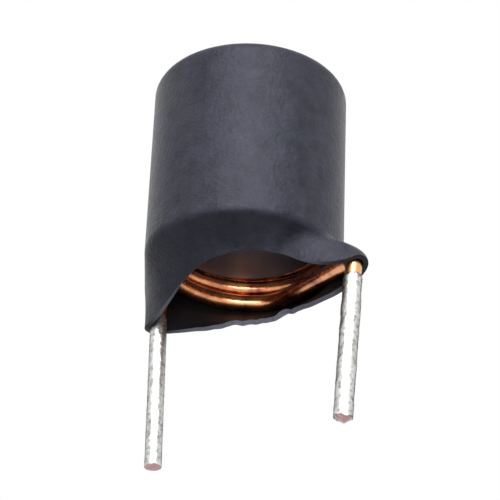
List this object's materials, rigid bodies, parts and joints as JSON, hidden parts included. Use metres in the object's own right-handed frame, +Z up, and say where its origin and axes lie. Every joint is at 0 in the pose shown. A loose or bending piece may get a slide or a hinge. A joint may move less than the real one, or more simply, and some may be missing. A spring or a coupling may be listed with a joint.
{
  "type": "wirewound inductor",
  "caption": "Radial wirewound inductor: single layer copper coil on a ferrite rod in a black shrink sleeve, with two tinned wire leads.",
  "frame": {"origin": "on the coil axis, at the face of the board that the leads go into", "axes": "+Z up from the board along the coil axis, leads pointing -Z; +X towards the thicker, elbowed lead; both leads stand in the plane y = 0.16 mm"},
  "size_m": [0.0128, 0.01, 0.0204],
  "materials": {
    "ferrite": "matte sintered",
    "copper": "enamelled copper, gloss",
    "tin": "dipped solder, bright and uneven",
    "sleeve": "matte shrink tube"
  },
  "bodies": {
    "root": {"ferrite_core": "ferrite", "winding_wire": "copper", "tin_coat_left": "tin", "tin_coat_right": "tin", "sleeve": "sleeve"}
  },
  "joints": []
}
